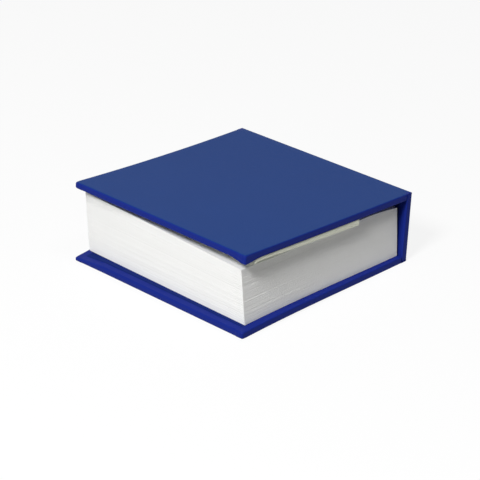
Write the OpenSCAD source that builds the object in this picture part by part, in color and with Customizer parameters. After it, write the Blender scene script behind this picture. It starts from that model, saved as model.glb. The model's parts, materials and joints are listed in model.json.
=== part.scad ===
// Hard-cover memo block: a case of three covered boards that folds round a
// block of note paper, with a pad of sticky notes inside the front cover.
// X runs from the fore-edge to the spine, Y from the tail to the head, Z up.
// The origin is the middle of the underside of the back cover.
// The case is drawn closed, as it rests: the front cover lies on the paper
// through the pad of sticky notes, which lifts its fore-edge a little.

/* [Paper block] */
// Width of the sheets, along the spine
block_w = 79; // [76:1:110]
// Length of the sheets, from the fore-edge to the glued edge
block_l = 76; // [60:1:110]
// Height of the block over its flat middle
block_h = 20; // [8:0.5:40]
// How far the loose top sheets stand out past the bottom ones at the fore-edge
block_fan = 0.6; // [0:0.1:1.5]
// Length over which the loose fore-edge swells
swell_len = 55; // [30:1:58]
// How much lower the glued edge is than the middle
pinch_h = 1.6; // [0:0.1:3]
// Length over which the block falls to its glued edge
pinch_len = 20; // [8:1:24]
// Thickness of the glue along the spine edge of the sheets
glue_t = 0.25; // [0.1:0.05:0.6]

/* [Sticky notes] */
// Width of the sticky notes, along the spine
pad_w = 76; // [40:1:78]
// Length of the sticky notes, across the cover
pad_l = 51; // [38:1:60]
// Thickness of the pad of sticky notes
pad_t = 2.15; // [1:0.05:4]
// Distance from the fore-edge of the front cover to the pad
pad_fore_inset = 5; // [3:0.5:12]
// Distance from the tail of the front cover to the pad
pad_tail_inset = 1; // [1:0.5:5]
// Gap between the paper block and the inner end of the pad
pad_gap = 0.2; // [0.1:0.05:0.5]
// Gap between the swollen fore-edge of the block and the pad
swell_gap = 0.3; // [0.2:0.05:1]

/* [Case] */
// How far the back cover stands out past the block at the fore-edge
fore_ledge = 4; // [1.5:0.5:8]
// How far the covers stand out past the block at the head and the tail
side_ledge = 2.5; // [1:0.5:6]
// How much deeper the front cover is than the back cover
front_extra = 0.5; // [0:0.1:2]
// Room between the block's middle and the front cover, at the spine
head_room = 1; // [0.5:0.1:2]
// Gap between the glued edge of the block and the foot of the spine
spine_gap = 0.35; // [0.2:0.05:1]
// Lean of the spine away from the block, in degrees
spine_lean = 4; // [0:0.5:8]
// Thickness of the greyboard in the covers and the spine
board_t = 1.9; // [1.2:0.1:3]
// Thickness of the covering
covering_t = 0.3; // [0.2:0.05:0.5]
// Thickness of the lining paper
lining_t = 0.15; // [0.1:0.05:0.3]
// Width of the covering turned in over the inside of the boards
turn_in = 12; // [6:1:18]
// How far the lining paper stays back from the edges of the boards
lining_inset = 3; // [1:0.5:5]
// Radius of the covered edges of the boards
edge_r = 0.5; // [0.2:0.1:0.9]
// Radius of the covered corners of the covers
corner_r = 0.8; // [0.6:0.1:2]
// Gap between the end of a cover's board and the inside of the spine
joint_gap = 0.6; // [0.4:0.1:2]
// Clearance between pieces that part when the case folds open
fold_gap = 0.15; // [0.1:0.05:0.25]

/* [Hidden] */

// Covered board without and with its lining
panel_t = board_t + 2 * covering_t;
lined_t = panel_t + lining_t;

// Back cover, from its fore-edge to the outside of the spine
case_w = block_w + 2 * side_ledge;
back_d = fore_ledge + block_l + spine_gap + lined_t;
front_d = back_d + front_extra;

// Height of the fold of the front cover, and the length of the spine up its outside
fold_z = lined_t + block_h + head_room + lined_t;
spine_h = fold_z / cos(spine_lean);
back_fold = [back_d / 2, 0];
front_fold = [back_d / 2 + spine_h * sin(spine_lean), fold_z];

// The front cover turns about its fold until the pad's inner end is pad_gap
// above the flat middle of the block
flat_z = lined_t + block_h;
pad_reach = front_d - pad_fore_inset - pad_l;
pad_depth = lined_t + pad_t;
front_rise = asin((flat_z + pad_gap - fold_z) / sqrt(pow(pad_reach, 2) + pow(pad_depth, 2)))
             + atan2(pad_depth, pad_reach);

// How far the front cover turns in past square to the spine, as a slope
past_square = max(0, sin(spine_lean - front_rise));

// Ends of a cover's board, its lining and the covering round it, measured from
// the fold. The covering stays clear of the spine where a cover turns in past square
board_end = lined_t + joint_gap;
lining_end = board_end - lining_t;
rim_end = lined_t + fold_gap + lined_t * past_square;

// Ends of the spine board: clear of the covering and lining that fold round it,
// and at the top also of the front cover
foot_clear = covering_t + lining_t + fold_gap;
top_clear = foot_clear + board_end * past_square;

// The block's fore-edge, and its glued edge
block_fore_x = -back_d / 2 + fore_ledge;
block_top_x = block_fore_x - block_fan;
block_end_x = block_fore_x + block_l;
sheet_end_x = block_end_x - glue_t;

// The loose sheets swell at the fore-edge until they nearly touch the pad there
pad_fore = front_d - pad_fore_inset;
pad_fore_x = front_fold[0] - pad_fore * cos(front_rise) - pad_depth * sin(front_rise);
pad_fore_z = fold_z + pad_fore * sin(front_rise) - pad_depth * cos(front_rise);
swell_h = (pad_fore_z - swell_gap - flat_z) / pow(1 - (pad_fore_x - block_top_x) / swell_len, 3);
profile_steps = 24;

// Facets of a quarter of a rounded edge
arc_steps = 5;

// Extra depth of a cut that has to break through a face
cut = 1;

covering_colour = [0.20, 0.28, 0.51];
lining_colour = [0.17, 0.24, 0.45];
board_colour = [0.60, 0.57, 0.53];
paper_colour = [0.95, 0.95, 0.94];
glue_colour = [0.88, 0.87, 0.80];
note_colour = [0.96, 0.95, 0.78];

// Points of an arc about [cx, cy] of radius r from angle a0 to a1
function arc(cx, cy, r, a0, a1) =
    [for (i = [0:arc_steps]) let (a = a0 + (a1 - a0) * i / arc_steps) [cx + r * cos(a), cy + r * sin(a)]];

// Outline from x0 to x1 and y0 to y1 with its two corners at x0 rounded
function open_outline(x0, x1, y0, y1, r) =
    concat([[x1, y0], [x1, y1]], arc(x0 + r, y1 - r, r, 90, 180), arc(x0 + r, y0 + r, r, 180, 270));

// Outline from x0 to x1 and y0 to y1 with all its corners rounded
function round_outline(x0, x1, y0, y1, r) =
    concat(arc(x1 - r, y0 + r, r, -90, 0), arc(x1 - r, y1 - r, r, 0, 90),
           arc(x0 + r, y1 - r, r, 90, 180), arc(x0 + r, y0 + r, r, 180, 270));

// Height of the paper over its flat middle at a place along X: a cubic swell to
// the fore-edge and a square fall to the glued edge
function loose(x) = swell_h * pow(max(0, 1 - (x - block_top_x) / swell_len), 3)
                    - pinch_h * pow(max(0, 1 - (block_end_x - x) / pinch_len), 2);
function block_top(x) = flat_z + loose(x);

// Draws an outline in X and Z and carries it w along Y, about the middle
module along_spine(outline, w) {
    rotate([90, 0, 0])
        linear_extrude(height = w, center = true)
            polygon(outline);
}

// Draws an outline in Y and Z and carries it from x0 to x1
module across_cover(outline, x0, x1) {
    translate([x0, 0, 0])
        rotate([90, 0, 90])
            linear_extrude(height = x1 - x0)
                polygon(outline);
}

// A box from one corner to the other
module span(low, high) {
    translate(low)
        cube(high - low);
}

// A covered cover lies with its outside at z = 0 and its fold at x = 0, and
// reaches to x = -depth at its fore-edge

// Slab of greyboard inside a cover's covering, up to a distance from the fold
module greyboard(depth, end) {
    edge_y = case_w / 2 - covering_t;
    translate([0, 0, covering_t])
        linear_extrude(height = board_t)
            polygon(open_outline(-depth + covering_t, -end, -edge_y, edge_y, corner_r - covering_t));
}

// Covering of a cover: one sheet under the board, round its three free edges
// and turned in over its inside, with the plain sheet running on to the fold
module cover_covering(depth) {
    window_y = case_w / 2 - turn_in;
    strip_y = case_w / 2 - edge_r;
    difference() {
        intersection() {
            along_spine(open_outline(-depth, -rim_end, 0, panel_t, edge_r), case_w);
            across_cover(round_outline(-case_w / 2, case_w / 2, 0, panel_t, edge_r), -depth, -rim_end);
            linear_extrude(height = panel_t)
                polygon(open_outline(-depth, -rim_end, -case_w / 2, case_w / 2, corner_r));
        }
        greyboard(depth, rim_end - cut);
        span([-depth + turn_in, -window_y, covering_t], [-rim_end + cut, window_y, panel_t + cut]);
    }
    span([-board_end, -strip_y, 0], [0, strip_y, covering_t]);
}

// Lining paper of a cover: fills the window between the turned-in edges, laps
// over them, goes down the end of the board and on to the fold
module cover_lining(depth) {
    fill_z = covering_t + board_t;
    edge_y = case_w / 2 - lining_inset;
    window_y = case_w / 2 - turn_in;
    span([-depth + turn_in, -window_y, fill_z], [-lining_end, window_y, lined_t]);
    span([-depth + lining_inset, -edge_y, panel_t], [-lining_end, edge_y, lined_t]);
    span([-board_end, -window_y, covering_t], [-lining_end, window_y, lined_t]);
    span([-board_end, -window_y, covering_t], [-foot_clear, window_y, covering_t + lining_t]);
}

// Places the spine, drawn upright with its outside at x = 0 and its foot at z = 0
module at_spine() {
    translate([back_fold[0], 0, back_fold[1]])
        rotate([0, spine_lean, 0])
            children();
}

// Places the front cover, drawn with its outside down and then turned over
module at_front() {
    translate([front_fold[0], 0, front_fold[1]])
        rotate([0, front_rise, 0])
            mirror([0, 0, 1])
                children();
}

// Places the back cover, drawn as a cover with its outside down
module at_back() {
    translate([back_fold[0], 0, back_fold[1]])
        children();
}

module back_board() {
    color(board_colour)
        at_back()
            greyboard(back_d, board_end);
}

module back_covering() {
    color(covering_colour)
        at_back()
            cover_covering(back_d);
}

module back_lining() {
    color(lining_colour)
        at_back()
            cover_lining(back_d);
}

module front_board() {
    color(board_colour)
        at_front()
            greyboard(front_d, board_end);
}

module front_covering() {
    color(covering_colour)
        at_front()
            cover_covering(front_d);
}

module front_lining() {
    color(lining_colour)
        at_front()
            cover_lining(front_d);
}

// Greyboard of the spine
module spine_board() {
    color(board_colour)
        at_spine()
            span([-covering_t - board_t, -case_w / 2 + covering_t, foot_clear],
                 [-covering_t, case_w / 2 - covering_t, spine_h - top_clear]);
}

// Covering of the spine: a sheet up its outside, round its head and tail and
// turned in over its inside
module spine_covering() {
    color(covering_colour)
        at_spine() {
            difference() {
                translate([0, 0, foot_clear])
                    linear_extrude(height = spine_h - top_clear - foot_clear)
                        polygon(round_outline(-panel_t, 0, -case_w / 2, case_w / 2, edge_r));
                span([-panel_t + covering_t, -case_w / 2 + covering_t, foot_clear - cut],
                     [-covering_t, case_w / 2 - covering_t, spine_h]);
                span([-panel_t - cut, -case_w / 2 + turn_in, foot_clear - cut],
                     [-covering_t, case_w / 2 - turn_in, spine_h]);
            }
            span([-covering_t, -case_w / 2 + edge_r, covering_t + fold_gap],
                 [0, case_w / 2 - edge_r, spine_h - covering_t - fold_gap]);
        }
}

// Lining paper of the spine: fills the window on its inside and laps over the
// turned-in edges
module spine_lining() {
    inside_x = -covering_t - board_t;
    edge_y = case_w / 2 - lining_inset;
    window_y = case_w / 2 - turn_in;
    color(lining_colour)
        at_spine() {
            span([-lined_t, -window_y, foot_clear], [inside_x, window_y, spine_h - top_clear]);
            span([-lined_t, -edge_y, foot_clear], [-panel_t, edge_y, spine_h - top_clear]);
        }
}

// Block of loose sheets, swollen at the fore-edge and pinched at the glued edge
module paper_block() {
    top = [for (i = [0:profile_steps]) let (x = sheet_end_x + (block_top_x - sheet_end_x) * i / profile_steps)
        [x, block_top(x)]];
    color(paper_colour)
        along_spine(concat([[block_fore_x, lined_t], [sheet_end_x, lined_t]], top), block_w);
}

// Glue that holds the sheets together along their spine edge
module binding_glue() {
    color(glue_colour)
        along_spine([[sheet_end_x, lined_t], [block_end_x, lined_t],
                     [block_end_x, block_top(block_end_x)], [sheet_end_x, block_top(sheet_end_x)]], block_w);
}

// Pad of sticky notes on the inside of the front cover
module sticky_note_pad() {
    color(note_colour)
        at_front()
            translate([-pad_fore, pad_tail_inset - case_w / 2, lined_t])
                cube([pad_l, pad_w, pad_t]);
}

back_board();
back_covering();
back_lining();
paper_block();
binding_glue();
spine_board();
spine_covering();
spine_lining();
front_board();
front_covering();
front_lining();
sticky_note_pad();
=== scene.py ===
"""Looks of a small hard-cover memo block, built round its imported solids.

Three covered boards fold round a block of loose note paper, and a pad of sticky
notes is stuck inside the front cover. Each sheet of covering and lining, each
stack of paper and each board is a skin worked out here in millimetres, in the
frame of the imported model, and put into Blender in metres.

A covered board has directions of its own, used all through this file: a is the
distance from its fold, y runs from the tail to the head, and c is the depth
from its outside.
"""

import json
import logging
from dataclasses import dataclass, field
from enum import Enum
from typing import Callable

import bmesh
import bpy
import numpy as np
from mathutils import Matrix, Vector


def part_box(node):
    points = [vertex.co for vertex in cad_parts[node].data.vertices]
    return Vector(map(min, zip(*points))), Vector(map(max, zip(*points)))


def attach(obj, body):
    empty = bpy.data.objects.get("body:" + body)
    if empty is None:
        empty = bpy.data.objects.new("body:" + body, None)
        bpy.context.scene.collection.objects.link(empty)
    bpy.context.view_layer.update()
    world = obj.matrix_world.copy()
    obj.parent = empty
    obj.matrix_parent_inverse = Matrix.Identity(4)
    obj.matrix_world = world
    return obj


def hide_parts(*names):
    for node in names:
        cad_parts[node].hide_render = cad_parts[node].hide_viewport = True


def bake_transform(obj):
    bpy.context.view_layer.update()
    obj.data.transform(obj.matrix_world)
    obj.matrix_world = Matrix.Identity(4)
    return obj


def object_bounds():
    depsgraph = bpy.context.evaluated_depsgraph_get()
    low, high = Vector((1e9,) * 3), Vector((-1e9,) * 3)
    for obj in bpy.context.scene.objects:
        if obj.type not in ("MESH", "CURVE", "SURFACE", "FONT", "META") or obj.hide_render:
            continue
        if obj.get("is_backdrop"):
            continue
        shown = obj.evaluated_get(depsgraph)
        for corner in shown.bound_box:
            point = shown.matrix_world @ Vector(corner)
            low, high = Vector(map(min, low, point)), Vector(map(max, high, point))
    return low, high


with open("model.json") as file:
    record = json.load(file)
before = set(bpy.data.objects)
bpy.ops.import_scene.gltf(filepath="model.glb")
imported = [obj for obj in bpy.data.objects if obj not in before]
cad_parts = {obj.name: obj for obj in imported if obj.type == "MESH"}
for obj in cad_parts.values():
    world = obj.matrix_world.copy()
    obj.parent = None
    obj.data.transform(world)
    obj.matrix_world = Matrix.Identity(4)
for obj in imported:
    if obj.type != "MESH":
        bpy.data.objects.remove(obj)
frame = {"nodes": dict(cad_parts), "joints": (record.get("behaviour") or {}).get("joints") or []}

Array = np.ndarray
Colour = tuple[float, float, float]
Place = Callable[[Array, Array, Array], Array]

MM = 0.001  # metres in a millimetre
MERGE_MM = 0.0005  # points closer together than this become one
SLIVER_MM = 0.0002  # edges shorter than this are dissolved
log = logging.getLogger("memo_block")


def srgb(red: int, green: int, blue: int) -> Colour:
    """Turns a screen colour into the linear one that shaders take.

    A channel v, from 0 to 1, becomes ((v + 0.055) / 1.055) to the power 2.4, or
    v / 12.92 where it is nearly black.

    Args:
        red: Red, from 0 to 255.
        green: Green, from 0 to 255.
        blue: Blue, from 0 to 255.

    Returns:
        The linear colour, each channel from 0 to 1.
    """
    v = np.array([red, green, blue]) / 255
    linear = np.where(v <= 0.04045, v / 12.92, ((v + 0.055) / 1.055) ** 2.4)
    return tuple(float(x) for x in linear)


def smooth_step(t: Array) -> Array:
    """Goes from 0 to 1 as t does, level at both ends: 3 t squared less 2 t cubed."""
    t = np.clip(t, 0.0, 1.0)
    return t * t * (3 - 2 * t)


def spread(*stops: tuple[float, int]) -> Array:
    """Places values from stop to stop, evenly between each two.

    Args:
        *stops: Pairs of a value and the number of steps that lead up to it. The
            first pair's number isn't used.

    Returns:
        The values, with each stop in them once.
    """
    values = [np.array([stops[0][0]])]
    for (start, _), (end, steps) in zip(stops[:-1], stops[1:]):
        values.append(np.linspace(start, end, steps + 1)[1:])
    return np.concatenate(values)


def node_points(node: str) -> Array:
    """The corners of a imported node.

    Args:
        node: The node's name.

    Returns:
        The points in millimetres, one to a row.
    """
    solid = frame["nodes"][node].data
    points = np.empty(len(solid.vertices) * 3, np.float32)
    solid.vertices.foreach_get("co", points)
    return points.reshape(-1, 3) / MM


class Side(Enum):
    """A side of a grid of points."""

    FIRST_ROW = 0
    LAST_ROW = 1
    FIRST_COLUMN = 2
    LAST_COLUMN = 3

    def of(self, points: Array) -> Array:
        """The line of points, or of their levels, along this side."""
        lines = (points[0], points[-1], points[:, 0], points[:, -1])
        return lines[self.value]


ALL_SIDES = tuple(Side)


@dataclass
class Skin:
    """A closed surface, joined from grids of points that share their borders.

    Attributes:
        grids: Arrays of points in millimetres, rows by columns by three.
        levels: For each grid, a number at each point that a pattern follows.
        sharp_deg: The angle between faces past which their edge stays sharp.
    """

    grids: list[Array] = field(default_factory=list)
    levels: list[Array] = field(default_factory=list)
    sharp_deg: float = 34.0

    def add(self, points: Array, level: Array | float = 0.0) -> None:
        """Adds one grid of points, with the number that its pattern follows."""
        self.grids.append(points)
        self.levels.append(np.broadcast_to(level, points.shape[:2]))

    def add_sheet(
        self,
        outer: Array,
        inner: Array,
        walls: tuple[Side, ...] = ALL_SIDES,
        level: Array | float = 0.0,
        inner_level: Array | float | None = None,
    ) -> None:
        """Adds a sheet: its two faces, and the walls that close it.

        A wall is the strip straight from a side of the outer grid to the same
        side of the inner one.

        Args:
            outer: The grid of points on one face.
            inner: The grid on the other face, of the same shape.
            walls: The sides that get a wall.
            level: The number that a pattern follows, at each point of the outer
                grid.
            inner_level: The same for the inner grid, where it differs.
        """
        grids = (outer, inner)
        given = (level, level if inner_level is None else inner_level)
        levels = [np.broadcast_to(each, grid.shape[:2]) for each, grid in zip(given, grids)]
        for grid, each in zip(grids, levels):
            self.add(grid, each)
        for side in walls:
            wall = np.stack([side.of(grid) for grid in grids])
            self.add(wall, np.stack([side.of(each) for each in levels]))

    def build(self, name: str) -> bpy.types.Object:
        """Makes the object, with its doubled points merged and its faces outwards.

        Args:
            name: The name of the piece.

        Returns:
            The new object, linked to the scene.
        """
        faces, start = [], 0
        for grid in self.grids:
            rows, columns = grid.shape[:2]
            index = start + np.arange(rows * columns).reshape(rows, columns)
            corners = (index[:-1, :-1], index[1:, :-1], index[1:, 1:], index[:-1, 1:])
            faces.append(np.stack(corners, axis=-1).reshape(-1, 4))
            start += rows * columns
        points = np.concatenate([grid.reshape(-1, 3) for grid in self.grids]) * MM
        mesh = bpy.data.meshes.new(name)
        mesh.from_pydata(points, [], np.concatenate(faces).tolist())
        level = mesh.attributes.new("level", "FLOAT", "POINT")
        values = np.concatenate([np.ravel(each) for each in self.levels])
        level.data.foreach_set("value", values.astype(np.float32))
        surface = bmesh.new()
        surface.from_mesh(mesh)
        bmesh.ops.remove_doubles(surface, verts=surface.verts, dist=MERGE_MM * MM)
        bmesh.ops.dissolve_degenerate(surface, edges=surface.edges, dist=SLIVER_MM * MM)
        bmesh.ops.recalc_face_normals(surface, faces=surface.faces)
        surface.to_mesh(mesh)
        surface.free()
        mesh.shade_smooth()
        mesh.set_sharp_from_angle(angle=np.radians(self.sharp_deg))
        piece = bpy.data.objects.new(name, mesh)
        bpy.context.scene.collection.objects.link(piece)
        return piece


class Graph:
    """The nodes of one material or world, with short calls to add and join them."""

    def __init__(self, owner: bpy.types.Material | bpy.types.World) -> None:
        """Takes up the nodes that its owner starts with.

        Args:
            owner: The new material or world.
        """
        owner.use_nodes = True
        self.owner = owner
        self.nodes = owner.node_tree.nodes

    def add(self, kind: str, **settings: object) -> bpy.types.Node:
        """Adds a node and sets its inputs and options.

        Args:
            kind: The node's type, without its ShaderNode prefix.
            **settings: Values by name. A name that matches an input, with spaces
                for underscores, is that input's value or the socket linked to
                it, and any other name is an option of the node.

        Returns:
            The new node.
        """
        node = self.nodes.new("ShaderNode" + kind)
        inputs = {}
        for name, value in settings.items():
            label = name.replace("_", " ")
            if label in node.inputs:
                inputs[label] = value
            else:
                setattr(node, name, value)
        for label, value in inputs.items():
            self.put(value, node.inputs[label])
        return node

    def put(self, value: object, socket: bpy.types.NodeSocket) -> None:
        """Links a socket to an input, or gives the input a plain value.

        Args:
            value: The socket or the value.
            socket: The input.
        """
        if isinstance(value, bpy.types.NodeSocket):
            self.owner.node_tree.links.new(value, socket)
        else:
            socket.default_value = value

    def surface(self, **values: object) -> None:
        """Sets inputs of a material's main shader.

        Args:
            **values: Values or sockets by the input's name, with underscores for
                its spaces.
        """
        inputs = self.nodes["Principled BSDF"].inputs
        for name, value in values.items():
            self.put(value, inputs[name.replace("_", " ")])

    def math(self, operation: str, first: object, second: object) -> bpy.types.NodeSocket:
        """Works one sum out of two numbers or sockets.

        Args:
            operation: What to do with them, in the words of the Math node.
            first: The first number or socket.
            second: The second one.

        Returns:
            The result.
        """
        node = self.add("Math", operation=operation)
        self.put(first, node.inputs[0])
        self.put(second, node.inputs[1])
        return node.outputs[0]

    def weigh(
        self, first: bpy.types.NodeSocket, share: float, second: bpy.types.NodeSocket
    ) -> bpy.types.NodeSocket:
        """Mixes two numbers: the share of the first, and the rest of the second.

        Args:
            first: The first number.
            share: How much of it there is, from 0 to 1.
            second: The second number.

        Returns:
            The mixed number.
        """
        rest = self.math("MULTIPLY", second, 1 - share)
        return self.math("ADD", self.math("MULTIPLY", first, share), rest)

    def stretch(self, value: bpy.types.NodeSocket, low: float, high: float) -> bpy.types.NodeSocket:
        """Stretches a value from 0 to 1 over another range.

        Args:
            value: The value.
            low: What 0 becomes.
            high: What 1 becomes.

        Returns:
            The stretched value.
        """
        return self.add("MapRange", Value=value, To_Min=low, To_Max=high).outputs[0]

    def seen(self) -> bpy.types.NodeSocket:
        """What the camera sees, straight or by way of gloss or glass.

        Returns:
            The value 1 where it is seen, and 0 where it only gives light.
        """
        path = self.add("LightPath")
        bounced = self.math("ADD", path.outputs["Is Glossy Ray"], path.outputs["Is Transmission Ray"])
        return self.math("MINIMUM", self.math("ADD", path.outputs["Is Camera Ray"], bounced), 1.0)

    def level(self) -> bpy.types.NodeSocket:
        """The number that the skin gave to each of its points."""
        return self.add("Attribute", attribute_name="level").outputs["Fac"]

    def position(self) -> bpy.types.NodeSocket:
        """The place on the piece, in metres."""
        return self.add("TexCoord").outputs["Object"]

    def noise(self, vector: bpy.types.NodeSocket, per_mm: float, detail: float) -> bpy.types.NodeSocket:
        """Soft random values from 0 to 1.

        Args:
            vector: Where to read them, in metres.
            per_mm: How many blots there are in a millimetre.
            detail: How many finer layers are added.

        Returns:
            The values.
        """
        found = self.add("TexNoise", Vector=vector, Scale=per_mm / MM, Detail=detail, Roughness=0.55)
        return found.outputs["Fac"]

    def tint(self, factor: bpy.types.NodeSocket, dark: Colour, light: Colour) -> bpy.types.NodeSocket:
        """Mixes two colours by a value.

        Args:
            factor: The value, from 0 to 1.
            dark: The linear colour at 0.
            light: The linear colour at 1.

        Returns:
            The mixed colour.
        """
        mix = self.add("Mix", data_type="RGBA")
        self.put(factor, mix.inputs[0])
        self.put((*dark, 1.0), mix.inputs[6])
        self.put((*light, 1.0), mix.inputs[7])
        return mix.outputs[2]

    def times(self, colour: bpy.types.NodeSocket, factor: bpy.types.NodeSocket) -> bpy.types.NodeSocket:
        """Multiplies a colour by a number.

        Args:
            colour: The colour.
            factor: The number.

        Returns:
            The colour times the number.
        """
        scaled = self.add("VectorMath", operation="SCALE", Scale=factor)
        self.put(colour, scaled.inputs[0])
        return scaled.outputs[0]

    def relief(self, height: bpy.types.NodeSocket, depth_mm: float) -> None:
        """Presses a pattern into the surface.

        Args:
            height: The pattern's heights, from 0 to 1.
            depth_mm: How deep it is.
        """
        bump = self.add("Bump", Height=height, Distance=depth_mm * MM)
        self.surface(Normal=bump.outputs["Normal"])


def shade(colour: Colour, factor: float) -> Colour:
    """A colour times a factor."""
    return tuple(channel * factor for channel in colour)


@dataclass(frozen=True)
class GrainedPaper:
    """Coloured paper with a fine grain, such as covering or lining paper.

    Attributes:
        name: The material's name.
        painted_sheen: Its linear colour on the large outside faces, where the level is 0, with painted sheen
            in it.
        full: Its linear colour on edges and turned-in strips, where the level is 1.
        roughness: How matt it is.
        gloss: The shader's specular level.
        mottle: How far its colour strays, as a share.
        grain_per_mm: How fine the grain is.
        grain_mm: How deep the grain is.
    """

    name: str
    painted_sheen: Colour
    full: Colour
    roughness: float
    gloss: float
    mottle: float = 0.05
    grain_per_mm: float = 3.2
    grain_mm: float = 0.012

    def material(self) -> bpy.types.Material:
        """Makes the material: clouds of colour and a fine grain.

        The colour goes from the one with painted sheen, on the large outside faces,
        to the full colour with the level. The clouds are noise about a centimetre
        across. The grain is noise at grain_per_mm, and its hollows are a little
        darker and more matt.

        Returns:
            The new material.
        """
        graph = Graph(bpy.data.materials.new(self.name))
        place = graph.position()
        clouds = graph.noise(place, 0.09, 3.0)
        grain = graph.noise(place, self.grain_per_mm, 4.0)
        strength = graph.stretch(graph.weigh(clouds, 0.65, grain), 1 - self.mottle, 1 + self.mottle)
        # At level 0, on the large outside faces, the colour has painted sheen in it, lighter and greener
        # than the full colour.
        graph.surface(
            Base_Color=graph.times(graph.tint(graph.level(), self.painted_sheen, self.full), strength),
            Roughness=graph.stretch(grain, self.roughness + 0.06, self.roughness - 0.06),
            Specular_IOR_Level=self.gloss,
        )
        graph.relief(grain, self.grain_mm)
        return graph.owner


@dataclass(frozen=True)
class StackedPaper:
    """Cut sheets of paper in a stack, whose edges show as fine lines.

    Attributes:
        name: The material's name.
        colour: Its linear colour.
        line_contrast: How far a sheet's edge strays from the colour, as a share.
    """

    name: str
    colour: Colour
    line_contrast: float = 0.06

    def material(self) -> bpy.types.Material:
        """Makes the material: fine lines and soft bands that follow the sheets.

        Both are noise that changes fast with the sheet's number, read from the
        level attribute, and slowly along the sheet. The bands are a dozen sheets
        thick. The flat of a sheet has fibres, as noise on its place alone.

        Returns:
            The new material.
        """
        graph = Graph(bpy.data.materials.new(self.name))
        place = graph.position()
        split = graph.add("SeparateXYZ", Vector=place)
        stretched = graph.add(
            "CombineXYZ",
            X=graph.math("MULTIPLY", split.outputs[0], 30.0),
            Y=graph.math("MULTIPLY", split.outputs[1], 30.0),
            Z=graph.level(),
        ).outputs[0]
        lines = graph.add("TexNoise", Vector=stretched, Scale=1.0, Detail=2.0).outputs["Fac"]
        bands = graph.add("TexNoise", Vector=stretched, Scale=0.09, Detail=2.0).outputs["Fac"]
        fibres = graph.noise(place, 5.0, 3.0)
        dark = shade(self.colour, 1 - self.line_contrast)
        light = shade(self.colour, 1 + self.line_contrast * 0.4)
        tint = graph.tint(graph.weigh(lines, 0.6, bands), dark, light)
        graph.surface(Base_Color=tint, Roughness=0.85, Specular_IOR_Level=0.15)
        graph.relief(graph.math("ADD", graph.math("MULTIPLY", fibres, 0.5), lines), 0.01)
        return graph.owner


@dataclass(frozen=True)
class Greyboard:
    """Raw greyboard, pressed from waste paper.

    Attributes:
        name: The material's name.
        colour: Its linear colour.
    """

    name: str
    colour: Colour

    def material(self) -> bpy.types.Material:
        """Makes the material: noise for its clouds, and sparse dark flecks.

        A fleck is where the distance to the nearest of some scattered points,
        times four, is below 1. The clouds are multiplied by it.

        Returns:
            The new material.
        """
        graph = Graph(bpy.data.materials.new(self.name))
        place = graph.position()
        clouds = graph.noise(place, 0.4, 5.0)
        distance = graph.add("TexVoronoi", Vector=place, Scale=1.3 / MM).outputs["Distance"]
        flecks = graph.math("MINIMUM", graph.math("MULTIPLY", distance, 4.0), 1.0)
        specks = graph.math("MULTIPLY", clouds, flecks)
        tint = graph.tint(specks, shade(self.colour, 0.6), shade(self.colour, 1.2))
        graph.surface(Base_Color=tint, Roughness=0.9)
        graph.relief(clouds, 0.04)
        return graph.owner


@dataclass(frozen=True)
class DriedGlue:
    """The brushed and dried glue along the edge of a block of sheets.

    Attributes:
        name: The material's name.
        colour: Its linear colour.
    """

    name: str
    colour: Colour

    def material(self) -> bpy.types.Material:
        """Makes the material: a satin film with brush marks along the block.

        The marks are noise that changes slowly from tail to head.

        Returns:
            The new material.
        """
        graph = Graph(bpy.data.materials.new(self.name))
        along = graph.add("Mapping", Vector=graph.position(), Scale=(1.0, 0.12, 1.0)).outputs[0]
        marks = graph.noise(along, 1.1, 4.0)
        tint = graph.tint(marks, shade(self.colour, 0.88), self.colour)
        graph.surface(Base_Color=tint, Roughness=0.45)
        graph.relief(marks, 0.06)
        return graph.owner


class Slot(Enum):
    """The record's material slots."""

    COVERING = "covering"
    LINING = "lining"
    GREYBOARD = "greyboard"
    NOTE_PAPER = "note_paper"
    STICKY_NOTES = "sticky_notes"
    BINDING_GLUE = "binding_glue"


@dataclass(frozen=True)
class Finishes:
    """The material of each slot, and the way that pieces get theirs.

    Attributes:
        materials: The materials by slot.
    """

    materials: dict[Slot, bpy.types.Material]

    @classmethod
    def make(cls) -> "Finishes":
        """Makes each material once.

        Returns:
            The finishes.
        """
        lining = srgb(24, 42, 110)
        finishes = {
            # The covering's first colour, for its large outside faces, is lighter and greener than its
            # second as painted sheen.
            Slot.COVERING: GrainedPaper(
                "covering_paper", srgb(20, 59, 125), srgb(22, 40, 129), roughness=0.5, gloss=0.08
            ),
            Slot.LINING: GrainedPaper(
                "lining_paper", lining, lining, roughness=0.75, gloss=0.05, mottle=0.07
            ),
            Slot.NOTE_PAPER: StackedPaper("note_paper", srgb(248, 248, 246)),
            Slot.STICKY_NOTES: StackedPaper("sticky_note_paper", srgb(250, 252, 236), line_contrast=0.1),
            Slot.GREYBOARD: Greyboard("greyboard", srgb(160, 150, 138)),
            Slot.BINDING_GLUE: DriedGlue("padding_glue", srgb(232, 228, 210)),
        }
        return cls({slot: finish.material() for slot, finish in finishes.items()})

    def dress(self, piece: bpy.types.Object, slot: Slot, *nodes: str) -> None:
        """Gives a piece the material of its slot, and hides the solids that it stands for.

        Args:
            piece: The piece.
            slot: The slot that its finish belongs to.
            *nodes: The solids that it replaces.
        """
        piece.data.materials.clear()
        piece.data.materials.append(self.materials[slot])
        if nodes:
            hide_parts(*nodes)
        log.info("%s: %d faces", piece.name, len(piece.data.polygons))

    def fit(self, skin: Skin, name: str, slot: Slot, body: str, *nodes: str) -> None:
        """Builds a skin, dresses it and rides it on a body.

        Args:
            skin: The skin.
            name: The name of the new piece.
            slot: The slot that its finish belongs to.
            body: The body that it moves with.
            *nodes: The solids that it replaces.
        """
        piece = skin.build(name)
        self.dress(piece, slot, *nodes)
        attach(piece, body)


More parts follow.
